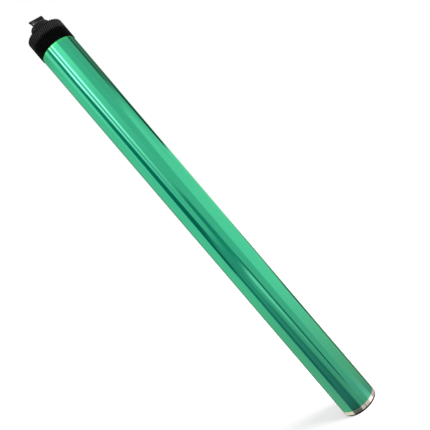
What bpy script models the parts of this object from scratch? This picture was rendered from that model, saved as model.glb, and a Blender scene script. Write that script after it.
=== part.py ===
# Drum unit of a large-format page printer.
# A coated aluminium tube carries a moulded drive gear with a twisted three-cornered coupling at
# its top, and a moulded bearing flange at its foot. Inside the tube are a damper weight held by
# two rubber rings, and a spring plate that earths the tube to the axle.
# Units are metres. +Z runs up the drum's axis, and the origin is the middle of the standing face.

import math

import bmesh
import bpy
from mathutils import Matrix

# Clearances
SEAT_GAP = 0.0003  # between two pieces that touch
SEAT_RUNOUT = 0.0010  # how much deeper a bored seat is than the spigot in it
WELD_DISTANCE = 0.000001
CUTTER_OVERRUN = 0.0010  # how far a cutter reaches past the face that it opens

# Tube
DRUM_DIAMETER = 0.0300  # over the coating
TUBE_LENGTH = 0.3586
TUBE_WALL = 0.0010
SEAT_RELIEF = 0.0002  # how much wider the bored seats are than the bore, on radius
COATING_THICKNESS = 0.00003
BARE_END = 0.0030  # uncoated stretch at the foot
TUBE_CHAMFER = 0.0002

# Spigots of both mouldings
SPIGOT_DEPTH = 0.0090  # measured from the tube's end
SPIGOT_WALL = 0.0016
SPIGOT_LEAD = 0.0006  # chamfer that leads the spigot into its seat
SPIGOT_RIBS = 6
RIB_THICKNESS = 0.0012
RIB_SETBACK = 0.0010  # the ribs end this far inside the spigot's rim
RIB_SINK = 0.0005  # how far a rib reaches into the walls that it joins

# Drive gear
GEAR_TEETH = 60
GEAR_WIDTH = 0.0162
HELIX_ANGLE = math.radians(17.0)  # right-hand
PRESSURE_ANGLE = math.radians(20.0)
TOOTH_ADDENDUM = 1.0  # in modules
TOOTH_DEDENDUM = 1.25  # in modules
GEAR_RIM_WALL = 0.0005  # between the tooth roots and the recess
GEAR_LIP_CHAMFER = 0.0002
GEAR_WEB = 0.0020
GEAR_WEB_HEIGHT = 0.0030  # underside of the web above the gear's lower face
HELIX_SLICES = 4

# Hub and coupling
HUB_DIAMETER = 0.0206
HUB_WALL = 0.0022
HUB_SETBACK = 0.0010  # the hub's face lies this far below the gear's rim
HUB_EDGE = 0.0004
JOURNAL_DIAMETER = 0.0164
JOURNAL_WALL = 0.0026
JOURNAL_RISE = 0.0080  # above the hub's face
JOURNAL_CROWN = 0.0016  # radius of the journal's rounded shoulder
JOURNAL_CROWN_ANGLE = 60.0  # degrees of it that are there, so its front edge stays crisp
COUPLING_LENGTH = 0.0049
COUPLING_REACH = 0.0068  # from the axis to the outside of a rounded corner
COUPLING_CORNER = 0.0010
COUPLING_TWIST = math.radians(-32.0)  # left-hand, over the coupling's length
COUPLING_PHASE = math.radians(-10.0)  # where one corner points at the tip
COUPLING_EDGE = 0.0004
COUPLING_SINK = 0.0005
COUPLING_HOLE_DIAMETER = 0.0060
COUPLING_HOLE_DEPTH = 0.0080
CORE_ROOF = 0.0030  # between the floor of the coupling's hole and the core below it
TWIST_SLICES = 6

# End flange
COLLAR_THICKNESS = 0.0010
COLLAR_STEP = 0.0005  # how far the collar's edge lies inside the drum's
COLLAR_LAND = 0.0025  # width of the standing face
COLLAR_CHAMFER = 0.0002
FACE_RECESS = 0.0035  # depth of the hollow in the outer face
FLANGE_WEB = 0.0016
AXLE_BORE_DIAMETER = 0.0080
BOSS_WALL = 0.0025
BOSS_SETBACK = 0.0005
BORE_CHAMFER = 0.0003

# Earthing plate and the two studs that hold it
PLATE_THICKNESS = 0.0003
PLATE_LAP = 0.0006  # how far the plate reaches over the spigot's rim
PLATE_MARGIN = 0.0011  # between the boss and the plate's opening
CONTACT_PRESS = 0.0003  # how far the tongues reach inside the axle bore
TONGUE_WIDTH = 0.0024
CLAWS = 3
CLAW_WIDTH = 0.0034
CLAW_RISE = 0.0020
STUDS = 2
STUD_DIAMETER = 0.0016
STUD_RISE = 0.0008  # above the plate
STUD_PAD_DIAMETER = 0.0032

# Damper weight and its rubber rings
DAMPER_LENGTH = 0.1100
DAMPER_CLEARANCE = 0.0014  # between the weight and the tube's bore
DAMPER_WALL = 0.0056
DAMPER_CHAMFER = 0.0005
DAMPER_RING_SECTION = 0.0024
DAMPER_RING_INSET = 0.0120  # from the weight's end to the middle of its groove

# Fineness of the round shapes
TUBE_STEPS = 96
MOULDING_STEPS = 64
INNER_STEPS = 36
HOLE_STEPS = 36
STUD_STEPS = 20
ARC_STEPS = 3
CORNER_STEPS = 5
RING_SECTION_STEPS = 8
SMOOTH_ANGLE = math.radians(35.0)

# Heights and radii that the pieces share
DRUM_RADIUS = DRUM_DIAMETER / 2
BORE_RADIUS = DRUM_RADIUS - TUBE_WALL
SEAT_RADIUS = BORE_RADIUS + SEAT_RELIEF
SEAT_DEPTH = SPIGOT_DEPTH + SEAT_RUNOUT
SPIGOT_RADIUS = SEAT_RADIUS - SEAT_GAP
SPIGOT_INSIDE = SPIGOT_RADIUS - SPIGOT_WALL
TUBE_FOOT = COLLAR_THICKNESS + SEAT_GAP
TUBE_TOP = TUBE_FOOT + TUBE_LENGTH
GEAR_FOOT = TUBE_TOP + SEAT_GAP
GEAR_TOP = GEAR_FOOT + GEAR_WIDTH
GEAR_MODULE = DRUM_DIAMETER / GEAR_TEETH
PITCH_RADIUS = DRUM_RADIUS
TIP_RADIUS = PITCH_RADIUS + TOOTH_ADDENDUM * GEAR_MODULE
ROOT_RADIUS = PITCH_RADIUS - TOOTH_DEDENDUM * GEAR_MODULE
RECESS_RADIUS = ROOT_RADIUS - GEAR_RIM_WALL
HUB_FACE = GEAR_TOP - HUB_SETBACK
JOURNAL_TOP = HUB_FACE + JOURNAL_RISE
COUPLING_TOP = JOURNAL_TOP + COUPLING_LENGTH
AXLE_RADIUS = AXLE_BORE_DIAMETER / 2
BOSS_RADIUS = AXLE_RADIUS + BOSS_WALL
FLANGE_TOP = TUBE_FOOT + SPIGOT_DEPTH
PLATE_FOOT = FLANGE_TOP + SEAT_GAP
PLATE_TOP = PLATE_FOOT + PLATE_THICKNESS
PLATE_OPENING = BOSS_RADIUS + PLATE_MARGIN
PLATE_RADIUS = SPIGOT_INSIDE + PLATE_LAP
STUD_CIRCLE = (PLATE_OPENING + PLATE_RADIUS) / 2


def clear_scene():
    for item in list(bpy.data.objects):
        bpy.data.objects.remove(item, do_unlink=True)


def make_collection(name):
    collection = bpy.data.collections.new(name)
    bpy.context.scene.collection.children.link(collection)
    return collection


def make_material(name, colour, roughness, metallic=0.0):
    material = bpy.data.materials.new(name)
    material.use_nodes = True
    shader = material.node_tree.nodes["Principled BSDF"]
    shader.inputs["Base Color"].default_value = (*colour, 1.0)
    shader.inputs["Roughness"].default_value = roughness
    shader.inputs["Metallic"].default_value = metallic
    return material


def place(name, mesh, collection):
    piece = bpy.data.objects.new(name, mesh)
    collection.objects.link(piece)
    if collection == cutters:
        piece.hide_render = True
        piece.display_type = "WIRE"
    return piece


def mesh_from(bm, name):
    # Every face is turned outwards before the mesh is stored.
    bmesh.ops.recalc_face_normals(bm, faces=bm.faces)
    mesh = bpy.data.meshes.new(name)
    bm.to_mesh(mesh)
    bm.free()
    return mesh


def arc(centre, radius, start, end, steps):
    # Points on a quarter turn or less, in the plane of a profile, angles in degrees.
    points = []
    for step in range(steps + 1):
        angle = math.radians(start + (end - start) * step / steps)
        points.append((centre[0] + radius * math.cos(angle), centre[1] + radius * math.sin(angle)))
    return points


def circle(radius, steps, middle=(0.0, 0.0)):
    turn = math.tau / steps
    return [(middle[0] + radius * math.cos(turn * k), middle[1] + radius * math.sin(turn * k))
            for k in range(steps)]


def turned(name, profile, steps, collection, closed=False):
    # Turns a profile of (radius, height) points round the axis. It runs down the outer side.
    mesh = bpy.data.meshes.new(name)
    edges = [(k, k + 1) for k in range(len(profile) - 1)]
    if closed:
        edges.append((len(profile) - 1, 0))
    mesh.from_pydata([(radius, 0.0, height) for radius, height in profile], edges, [])
    piece = place(name, mesh, collection)
    screw = piece.modifiers.new("turn", "SCREW")
    screw.axis = "Z"
    screw.angle = math.tau
    screw.steps = steps
    screw.render_steps = steps
    screw.use_merge_vertices = True
    screw.merge_threshold = WELD_DISTANCE
    return piece


def combine(piece, operation, tool):
    boolean = piece.modifiers.new(tool.name, "BOOLEAN")
    boolean.operation = operation
    boolean.solver = "EXACT"
    boolean.object = tool


def settle(piece):
    # The finished shape becomes a plain mesh, smooth on its round faces and sharp at its edges.
    shape = piece.evaluated_get(bpy.context.evaluated_depsgraph_get())
    mesh = bpy.data.meshes.new_from_object(shape)
    mesh.name = piece.name
    piece.modifiers.clear()
    piece.data = mesh
    mesh.shade_smooth()
    mesh.set_sharp_from_angle(angle=SMOOTH_ANGLE)


def twisted(name, outline, foot, height, twist, slices):
    # Carries a flat closed outline up the axis while it turns.
    bm = bmesh.new()
    face = bm.faces.new([bm.verts.new((x, y, foot)) for x, y in outline])
    geometry = [face] + list(face.edges) + list(face.verts)
    bmesh.ops.spin(bm, geom=geometry, cent=(0.0, 0.0, 0.0), axis=(0.0, 0.0, 1.0),
                   dvec=(0.0, 0.0, height / slices), angle=twist, steps=slices,
                   use_merge=False, use_duplicate=False)
    return mesh_from(bm, name)


def ribs(name, inside, outside, foot, top):
    # Radial walls that stiffen the ring between a hub and a spigot.
    bm = bmesh.new()
    length = outside - inside + 2 * RIB_SINK
    for k in range(SPIGOT_RIBS):
        box = bmesh.ops.create_cube(bm, size=1.0)["verts"]
        bmesh.ops.scale(bm, vec=(length, RIB_THICKNESS, top - foot), verts=box)
        bmesh.ops.translate(bm, vec=((inside + outside) / 2, 0.0, (foot + top) / 2), verts=box)
        turn = Matrix.Rotation(math.tau * k / SPIGOT_RIBS, 3, "Z")
        bmesh.ops.rotate(bm, cent=(0.0, 0.0, 0.0), verts=box, matrix=turn)
    return place(name, mesh_from(bm, name), cutters)


def make_tube():
    bare_radius = DRUM_RADIUS - COATING_THICKNESS
    coating_foot = TUBE_FOOT + BARE_END
    profile = [
        (SEAT_RADIUS + TUBE_CHAMFER, TUBE_TOP),
        (DRUM_RADIUS - TUBE_CHAMFER, TUBE_TOP),
        (DRUM_RADIUS, TUBE_TOP - TUBE_CHAMFER),
        (DRUM_RADIUS, coating_foot),
        (bare_radius, coating_foot),
        (bare_radius, TUBE_FOOT + TUBE_CHAMFER),
        (bare_radius - TUBE_CHAMFER, TUBE_FOOT),
        (SEAT_RADIUS + TUBE_CHAMFER, TUBE_FOOT),
        (SEAT_RADIUS, TUBE_FOOT + TUBE_CHAMFER),
        (SEAT_RADIUS, TUBE_FOOT + SEAT_DEPTH),
        (BORE_RADIUS, TUBE_FOOT + SEAT_DEPTH),
        (BORE_RADIUS, TUBE_TOP - SEAT_DEPTH),
        (SEAT_RADIUS, TUBE_TOP - SEAT_DEPTH),
        (SEAT_RADIUS, TUBE_TOP - TUBE_CHAMFER),
    ]
    tube = turned("drum_tube", profile, TUBE_STEPS, parts, closed=True)
    settle(tube)
    tube.data.materials.append(make_material("bare_aluminium", (0.62, 0.61, 0.58), 0.28, 1.0))
    tube.data.materials.append(make_material("green_coating", (0.06, 0.42, 0.24), 0.15, 0.6))
    for polygon in tube.data.polygons:
        reach = math.hypot(polygon.center.x, polygon.center.y)
        if reach > bare_radius - TUBE_CHAMFER and polygon.center.z > coating_foot:
            polygon.material_index = 1


def involute(angle):
    return math.tan(angle) - angle


def half_tooth(radius):
    # Half the angle that a tooth fills at a radius, on an involute flank.
    base_radius = PITCH_RADIUS * math.cos(PRESSURE_ANGLE)
    pressure_here = math.acos(min(1.0, base_radius / radius))
    return math.pi / (2 * GEAR_TEETH) + involute(PRESSURE_ANGLE) - involute(pressure_here)


def gear_outline():
    # One tooth is root, pitch line and tip on its near flank, then the same on its far flank.
    flank = (ROOT_RADIUS, PITCH_RADIUS, TIP_RADIUS)
    outline = []
    for tooth in range(GEAR_TEETH):
        middle = math.tau * tooth / GEAR_TEETH
        for side, radii in ((-1, flank), (1, flank[::-1])):
            for radius in radii:
                angle = middle + side * half_tooth(radius)
                outline.append((radius * math.cos(angle), radius * math.sin(angle)))
    return outline


def make_toothed_ring():
    twist = GEAR_WIDTH * math.tan(HELIX_ANGLE) / PITCH_RADIUS
    blank = twisted("drive_gear", gear_outline(), GEAR_FOOT, GEAR_WIDTH, twist, HELIX_SLICES)
    gear = place("drive_gear", blank, parts)
    recess = turned("gear_recess_cutter", [
        (0.0, GEAR_TOP + CUTTER_OVERRUN),
        (RECESS_RADIUS + GEAR_LIP_CHAMFER, GEAR_TOP + CUTTER_OVERRUN),
        (RECESS_RADIUS + GEAR_LIP_CHAMFER, GEAR_TOP),
        (RECESS_RADIUS, GEAR_TOP - GEAR_LIP_CHAMFER),
        (RECESS_RADIUS, GEAR_FOOT - CUTTER_OVERRUN),
        (0.0, GEAR_FOOT - CUTTER_OVERRUN),
    ], MOULDING_STEPS, cutters)
    combine(gear, "DIFFERENCE", recess)
    return gear


def make_gear_body():
    # Web, spigot, hub and journal are one turned shape that reaches into the toothed ring.
    hub_radius = HUB_DIAMETER / 2
    journal_radius = JOURNAL_DIAMETER / 2
    hub_core = hub_radius - HUB_WALL
    journal_core = journal_radius - JOURNAL_WALL
    web_foot = GEAR_FOOT + GEAR_WEB_HEIGHT
    web_top = web_foot + GEAR_WEB
    web_radius = (RECESS_RADIUS + ROOT_RADIUS) / 2
    spigot_foot = TUBE_TOP - SPIGOT_DEPTH
    core_top = COUPLING_TOP - COUPLING_HOLE_DEPTH - CORE_ROOF
    crown_drop = JOURNAL_CROWN * math.sin(math.radians(JOURNAL_CROWN_ANGLE))
    shoulder = arc((journal_radius - JOURNAL_CROWN, JOURNAL_TOP - crown_drop), JOURNAL_CROWN,
                   JOURNAL_CROWN_ANGLE, 0, ARC_STEPS)
    hub_edge = arc((hub_radius - HUB_EDGE, HUB_FACE - HUB_EDGE), HUB_EDGE, 90, 0, ARC_STEPS)
    profile = [(0.0, JOURNAL_TOP)] + shoulder + [(journal_radius, HUB_FACE)] + hub_edge + [
        (hub_radius, web_top),
        (web_radius, web_top),
        (web_radius, GEAR_FOOT + RIB_SINK),
        (SPIGOT_RADIUS, GEAR_FOOT + RIB_SINK),
        (SPIGOT_RADIUS, spigot_foot + SPIGOT_LEAD),
        (SPIGOT_RADIUS - SPIGOT_LEAD, spigot_foot),
        (SPIGOT_INSIDE, spigot_foot),
        (SPIGOT_INSIDE, web_foot),
        (hub_radius, web_foot),
        (hub_radius, spigot_foot + RIB_SETBACK),
        (hub_core, spigot_foot + RIB_SETBACK),
        (hub_core, HUB_FACE - HUB_WALL),
        (journal_core, HUB_FACE - HUB_WALL),
        (journal_core, core_top),
        (0.0, core_top),
    ]
    body = turned("gear_body", profile, MOULDING_STEPS, cutters)
    walls = ribs("gear_ribs", hub_radius, SPIGOT_INSIDE, spigot_foot + 2 * RIB_SETBACK,
                 web_foot + RIB_SINK)
    return body, walls


def coupling_outline(phase):
    # A triangle whose corners are round.
    corner_circle = COUPLING_REACH - COUPLING_CORNER
    outline = []
    for corner in range(3):
        middle = phase + math.tau * corner / 3
        for step in range(CORNER_STEPS + 1):
            angle = middle + math.radians(120.0) * (step / CORNER_STEPS - 0.5)
            outline.append((corner_circle * math.cos(middle) + COUPLING_CORNER * math.cos(angle),
                            corner_circle * math.sin(middle) + COUPLING_CORNER * math.sin(angle)))
    return outline


def make_coupling():
    foot = JOURNAL_TOP - COUPLING_SINK
    height = COUPLING_TOP - foot
    twist = COUPLING_TWIST * height / COUPLING_LENGTH
    mesh = twisted("coupling", coupling_outline(COUPLING_PHASE - twist), foot, height, twist,
                   TWIST_SLICES)
    coupling = place("coupling", mesh, cutters)
    edge = coupling.modifiers.new("round_edge", "BEVEL")
    edge.width = COUPLING_EDGE
    edge.segments = 2
    edge.limit_method = "ANGLE"
    edge.angle_limit = math.radians(60.0)
    hole_foot = COUPLING_TOP - COUPLING_HOLE_DEPTH
    hole_radius = COUPLING_HOLE_DIAMETER / 2
    hole = turned("coupling_hole_cutter", [
        (0.0, COUPLING_TOP + CUTTER_OVERRUN),
        (hole_radius, COUPLING_TOP + CUTTER_OVERRUN),
        (hole_radius, hole_foot),
        (0.0, hole_foot),
    ], HOLE_STEPS, cutters)
    return coupling, hole


def make_drive_gear():
    gear = make_toothed_ring()
    body, walls = make_gear_body()
    coupling, hole = make_coupling()
    combine(gear, "UNION", body)
    combine(gear, "UNION", walls)
    combine(gear, "UNION", coupling)
    combine(gear, "DIFFERENCE", hole)
    settle(gear)
    gear.data.materials.append(make_material("black_moulding", (0.012, 0.012, 0.013), 0.35))


def make_end_flange():
    collar_radius = DRUM_RADIUS - COLLAR_STEP
    land_inside = collar_radius - COLLAR_LAND
    web_top = FACE_RECESS + FLANGE_WEB
    profile = [
        (AXLE_RADIUS + BORE_CHAMFER, FLANGE_TOP),
        (BOSS_RADIUS, FLANGE_TOP),
        (BOSS_RADIUS, web_top),
        (SPIGOT_INSIDE, web_top),
        (SPIGOT_INSIDE, FLANGE_TOP),
        (SPIGOT_RADIUS - SPIGOT_LEAD, FLANGE_TOP),
        (SPIGOT_RADIUS, FLANGE_TOP - SPIGOT_LEAD),
        (SPIGOT_RADIUS, COLLAR_THICKNESS),
        (collar_radius, COLLAR_THICKNESS),
        (collar_radius, COLLAR_CHAMFER),
        (collar_radius - COLLAR_CHAMFER, 0.0),
        (land_inside, 0.0),
        (land_inside, FACE_RECESS),
        (BOSS_RADIUS, FACE_RECESS),
        (BOSS_RADIUS, BOSS_SETBACK),
        (AXLE_RADIUS + BORE_CHAMFER, BOSS_SETBACK),
        (AXLE_RADIUS, BOSS_SETBACK + BORE_CHAMFER),
        (AXLE_RADIUS, FLANGE_TOP - BORE_CHAMFER),
    ]
    flange = turned("end_flange", profile, MOULDING_STEPS, parts, closed=True)
    combine(flange, "UNION", ribs("flange_ribs", BOSS_RADIUS, SPIGOT_INSIDE,
                                  web_top - RIB_SINK, FLANGE_TOP - RIB_SETBACK))
    for stud in make_studs(web_top - RIB_SINK):
        combine(flange, "UNION", stud)
    settle(flange)
    flange.data.materials.append(make_material("black_flange", (0.015, 0.015, 0.016), 0.45))


def stud_places():
    return circle(STUD_CIRCLE, STUDS)


def make_studs(foot):
    # Each stud stands on a pad that grows out of a rib, and passes through the earthing plate.
    profile = [
        (0.0, PLATE_TOP + STUD_RISE),
        (STUD_DIAMETER / 2, PLATE_TOP + STUD_RISE),
        (STUD_DIAMETER / 2, FLANGE_TOP),
        (STUD_PAD_DIAMETER / 2, FLANGE_TOP),
        (STUD_PAD_DIAMETER / 2, foot),
        (0.0, foot),
    ]
    studs = []
    for x, y in stud_places():
        stud = turned("stud", profile, STUD_STEPS, cutters)
        stud.location = (x, y, 0.0)
        studs.append(stud)
    return studs


def plate_opening():
    # The round opening of the earthing plate, with a straight tongue on either side.
    tip = AXLE_RADIUS - CONTACT_PRESS
    half_width = TONGUE_WIDTH / 2
    root = math.asin(half_width / PLATE_OPENING)
    outline = []
    for side in (1, -1):
        start = math.radians(-90.0 * side) + root
        sweep = math.pi - 2 * root
        for step in range(INNER_STEPS // 2 + 1):
            angle = start + sweep * step / (INNER_STEPS // 2)
            outline.append((PLATE_OPENING * math.cos(angle), PLATE_OPENING * math.sin(angle)))
        outline.append((half_width * side, tip * side))
        outline.append((-half_width * side, tip * side))
    return outline


def make_ground_contact():
    # A flat sheet is cut to its outline, its claws are bent up, and it gets its thickness last.
    claw_reach = BORE_RADIUS - SEAT_GAP - PLATE_THICKNESS
    hole_radius = STUD_DIAMETER / 2 + SEAT_GAP
    holes = [circle(hole_radius, STUD_STEPS, middle) for middle in stud_places()]
    sheet = bpy.data.curves.new("ground_contact", "CURVE")
    sheet.dimensions = "2D"
    sheet.fill_mode = "BOTH"
    for outline in [circle(PLATE_RADIUS, MOULDING_STEPS), plate_opening()] + holes:
        spline = sheet.splines.new("POLY")
        spline.points.add(len(outline) - 1)
        for point, (x, y) in zip(spline.points, outline):
            point.co = (x, y, 0.0, 1.0)
        spline.use_cyclic_u = True
    drawing = place("ground_contact_outline", sheet, cutters)
    flat = bpy.data.meshes.new_from_object(
        drawing.evaluated_get(bpy.context.evaluated_depsgraph_get()))
    bpy.data.objects.remove(drawing, do_unlink=True)

    bm = bmesh.new()
    bm.from_mesh(flat)
    bmesh.ops.remove_doubles(bm, verts=bm.verts, dist=WELD_DISTANCE)
    bmesh.ops.translate(bm, vec=(0.0, 0.0, PLATE_TOP), verts=bm.verts)
    for face in bm.faces:
        if face.normal.z < 0:
            face.normal_flip()
    for k in range(CLAWS):
        bend_claw(bm, math.tau * (k + 0.5) / CLAWS, claw_reach)
    mesh = bpy.data.meshes.new("ground_contact")
    bm.to_mesh(mesh)
    bm.free()
    contact = place("ground_contact", mesh, parts)
    thicken = contact.modifiers.new("sheet", "SOLIDIFY")
    thicken.thickness = PLATE_THICKNESS
    thicken.offset = -1.0
    settle(contact)
    contact.data.materials.append(make_material("spring_bronze", (0.72, 0.50, 0.28), 0.3, 1.0))


def bend_claw(bm, middle, reach):
    half_angle = CLAW_WIDTH / (2 * PLATE_RADIUS)
    chosen = []
    for edge in bm.edges:
        centre = (edge.verts[0].co + edge.verts[1].co) / 2
        away = math.remainder(math.atan2(centre.y, centre.x) - middle, math.tau)
        on_rim = edge.is_boundary and centre.xy.length > PLATE_RADIUS - PLATE_LAP
        if on_rim and abs(away) < half_angle:
            chosen.append(edge)
    raised = bmesh.ops.extrude_edge_only(bm, edges=chosen)["geom"]
    for vert in (item for item in raised if isinstance(item, bmesh.types.BMVert)):
        vert.co.xy *= reach / PLATE_RADIUS
        vert.co.z += CLAW_RISE


def make_damper():
    middle = TUBE_FOOT + TUBE_LENGTH / 2
    top = middle + DAMPER_LENGTH / 2
    foot = middle - DAMPER_LENGTH / 2
    outside = BORE_RADIUS - DAMPER_CLEARANCE
    inside = outside - DAMPER_WALL
    ring_middle = BORE_RADIUS - SEAT_GAP - DAMPER_RING_SECTION / 2
    groove_floor = ring_middle - DAMPER_RING_SECTION / 2 - SEAT_GAP
    half_groove = DAMPER_RING_SECTION / 2 + SEAT_GAP
    ring_heights = (top - DAMPER_RING_INSET, foot + DAMPER_RING_INSET)
    profile = [
        (inside, top),
        (outside - DAMPER_CHAMFER, top),
        (outside, top - DAMPER_CHAMFER),
    ]
    for height in ring_heights:
        profile += [
            (outside, height + half_groove),
            (groove_floor, height + half_groove),
            (groove_floor, height - half_groove),
            (outside, height - half_groove),
        ]
    profile += [
        (outside, foot + DAMPER_CHAMFER),
        (outside - DAMPER_CHAMFER, foot),
        (inside, foot),
    ]
    weight = turned("damper_weight", profile, INNER_STEPS, parts, closed=True)
    settle(weight)
    weight.data.materials.append(make_material("damper_filler", (0.20, 0.20, 0.21), 0.7))
    rubber = make_material("damper_rubber", (0.02, 0.02, 0.02), 0.8)
    for name, height in zip(("damper_ring_upper", "damper_ring_lower"), ring_heights):
        section = circle(DAMPER_RING_SECTION / 2, RING_SECTION_STEPS, (ring_middle, height))
        ring = turned(name, section[::-1], INNER_STEPS, parts, closed=True)
        settle(ring)
        ring.data.materials.append(rubber)


clear_scene()
parts = make_collection("printer_drum_unit")
cutters = make_collection("cutters")
make_tube()
make_drive_gear()
make_end_flange()
make_ground_contact()
make_damper()
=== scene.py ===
import math

import bmesh
import bpy
import numpy as np
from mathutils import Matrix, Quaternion, Vector


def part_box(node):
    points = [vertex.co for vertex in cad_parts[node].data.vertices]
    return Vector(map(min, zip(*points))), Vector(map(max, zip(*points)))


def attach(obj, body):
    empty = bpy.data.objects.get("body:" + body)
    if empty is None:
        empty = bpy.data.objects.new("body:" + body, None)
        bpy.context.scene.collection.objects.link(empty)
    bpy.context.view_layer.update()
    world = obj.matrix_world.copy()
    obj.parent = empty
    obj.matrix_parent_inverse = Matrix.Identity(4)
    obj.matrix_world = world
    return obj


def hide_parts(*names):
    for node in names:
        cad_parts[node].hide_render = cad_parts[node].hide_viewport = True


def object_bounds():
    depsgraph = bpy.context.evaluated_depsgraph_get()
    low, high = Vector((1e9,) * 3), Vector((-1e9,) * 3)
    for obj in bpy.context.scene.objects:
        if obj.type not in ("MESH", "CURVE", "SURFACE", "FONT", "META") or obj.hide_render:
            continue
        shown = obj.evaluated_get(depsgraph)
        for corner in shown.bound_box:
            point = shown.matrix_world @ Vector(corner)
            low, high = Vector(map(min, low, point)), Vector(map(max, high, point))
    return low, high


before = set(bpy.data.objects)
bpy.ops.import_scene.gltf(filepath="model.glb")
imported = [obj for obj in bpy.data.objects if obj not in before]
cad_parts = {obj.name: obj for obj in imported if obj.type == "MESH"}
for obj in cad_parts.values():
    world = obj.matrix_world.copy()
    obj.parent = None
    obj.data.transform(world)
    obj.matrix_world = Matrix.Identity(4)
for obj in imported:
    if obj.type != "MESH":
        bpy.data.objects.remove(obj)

cadLow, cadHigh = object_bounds()
tubeLow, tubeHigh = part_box("drum_tube")
gearLow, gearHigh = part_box("drive_gear")
drumRadius = tubeHigh.x  # over the coating
mm = 0.001
sharpAngle = math.radians(25)
weldDistance = 0.0008 * mm


# Small helpers that every piece uses

def arcPoints(centre, radius, start, end, steps):
    # (radius, height) points on an arc of a section, angles in degrees
    points = []
    for step in range(steps + 1):
        angle = math.radians(start + (end - start) * step / steps)
        points.append((centre[0] + radius * math.cos(angle), centre[1] + radius * math.sin(angle)))
    return points


def addObject(name, mesh):
    piece = bpy.data.objects.new(name, mesh)
    bpy.context.scene.collection.objects.link(piece)
    return piece


def faceOutwards(mesh):
    bm = bmesh.new()
    bm.from_mesh(mesh)
    bmesh.ops.remove_doubles(bm, verts=bm.verts, dist=weldDistance)
    bmesh.ops.recalc_face_normals(bm, faces=bm.faces)
    bm.to_mesh(mesh)
    bm.free()


def makePlain(piece):
    # what the modifiers make becomes the piece's own mesh, without empty material slots
    shape = piece.evaluated_get(bpy.context.evaluated_depsgraph_get())
    mesh = bpy.data.meshes.new_from_object(shape)
    mesh.name = piece.name
    for slot in reversed(range(len(mesh.materials))):
        if mesh.materials[slot] is None:
            mesh.materials.pop(index=slot)
    piece.modifiers.clear()
    piece.data = mesh


def smoothShade(piece):
    # soft on the round faces, crisp at the edges, and flat faces stay flat
    piece.data.shade_smooth()
    piece.data.set_sharp_from_angle(angle=sharpAngle)
    weighted = piece.modifiers.new("weightedNormals", "WEIGHTED_NORMAL")
    weighted.keep_sharp = True
    makePlain(piece)


def turnPiece(name, section, steps):
    # a closed section of (radius, height) points, turned once round the axis. Points on the axis
    # are welded to one, and an edge that lies on it makes no face.
    count = len(section)
    points, faces = [], []
    for step in range(steps):
        angle = math.tau * step / steps
        here, after = step * count, (step + 1) % steps * count
        for k, (radius, height) in enumerate(section):
            points.append((radius * math.cos(angle), radius * math.sin(angle), height))
            last = (k - 1) % count
            if radius + section[last][0] > 0:
                faces.append((here + last, here + k, after + k, after + last))
    mesh = bpy.data.meshes.new(name)
    mesh.from_pydata(points, [], faces)
    faceOutwards(mesh)
    return addObject(name, mesh)


def joinPieces(main, others):
    with bpy.context.temp_override(active_object=main, selected_editable_objects=[main] + others):
        bpy.ops.object.join()


def feed(tree, socket, value):
    # a socket takes a value, or the output of another node
    if isinstance(value, bpy.types.NodeSocket):
        tree.links.new(value, socket)
    else:
        socket.default_value = value


def calc(tree, operation, *values):
    step = tree.nodes.new("ShaderNodeMath")
    step.operation = operation
    for socket, value in zip(step.inputs, values):
        feed(tree, socket, value)
    return step.outputs[0]


def addNode(tree, kind, settings=None, **sockets):
    # settings go on the node, and its sockets are fed by their names
    made = tree.nodes.new(kind)
    for key, value in (settings or {}).items():
        setattr(made, key, value)
    for key, value in sockets.items():
        feed(tree, made.inputs[key.replace("_", " ")], value)
    return made


mixSockets = {"RGBA": (0, 6, 7, 2), "FLOAT": (0, 2, 3, 0)}  # factor, the two inputs, and the result


def blend(tree, factor, first, second, kind="RGBA"):
    mix = addNode(tree, "ShaderNodeMix", {"data_type": kind})
    *inputs, result = mixSockets[kind]
    for index, value in zip(inputs, (factor, first, second)):
        feed(tree, mix.inputs[index], value)
    return mix.outputs[result]


def ramp(tree, value, low, high, lowResult=0.0, highResult=1.0, kind="SMOOTHSTEP"):
    return addNode(tree, "ShaderNodeMapRange", {"interpolation_type": kind}, Value=value,
                   From_Min=low, From_Max=high, To_Min=lowResult, To_Max=highResult).outputs["Result"]


# Finishes. A noise is given by its scale and its detail.

white, black = (1, 1, 1, 1), (0, 0, 0, 1)
noiseSpan = (0.2, 0.8)  # nearly all values of a noise lie between these
turned = {"stretch": 0.5, "direction": 0.25, "detail": 3.0}  # highlights drawn out across the grooves


def newFinish(name, **sockets):
    finish = bpy.data.materials.new(name)
    finish.use_nodes = True
    shader = finish.node_tree.nodes["Principled BSDF"]
    for key, value in sockets.items():
        shader.inputs[key.replace("_", " ")].default_value = value
    return finish, finish.node_tree, shader


def placeOnPiece(tree):
    return addNode(tree, "ShaderNodeTexCoord").outputs["Object"]


def heightOf(tree, place):
    return addNode(tree, "ShaderNodeSeparateXYZ", Vector=place).outputs["Z"]


def noiseAt(tree, place, scale, detail):
    return addNode(tree, "ShaderNodeTexNoise", Vector=place, Scale=scale, Detail=detail).outputs["Fac"]


def addBump(tree, shader, height, distance):
    bump = addNode(tree, "ShaderNodeBump", Height=height, Distance=distance, Strength=1.0)
    tree.links.new(bump.outputs["Normal"], shader.inputs["Normal"])


def turnedMetal(name, **sockets):
    finish, tree, shader = newFinish(name, Metallic=1.0, Anisotropic=turned["stretch"],
                                     Anisotropic_Rotation=turned["direction"], **sockets)
    tangent = addNode(tree, "ShaderNodeTangent", {"direction_type": "RADIAL", "axis": "Z"})
    tree.links.new(tangent.outputs["Tangent"], shader.inputs["Tangent"])
    return finish, tree, shader


def turnedLines(tree, height, pitch):
    # fine grooves that run round the axis, as a lathe leaves them
    return addNode(tree, "ShaderNodeTexNoise", {"noise_dimensions": "1D"}, Scale=1.0,
                   W=calc(tree, "DIVIDE", height, pitch), Detail=turned["detail"]).outputs["Fac"]


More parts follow.
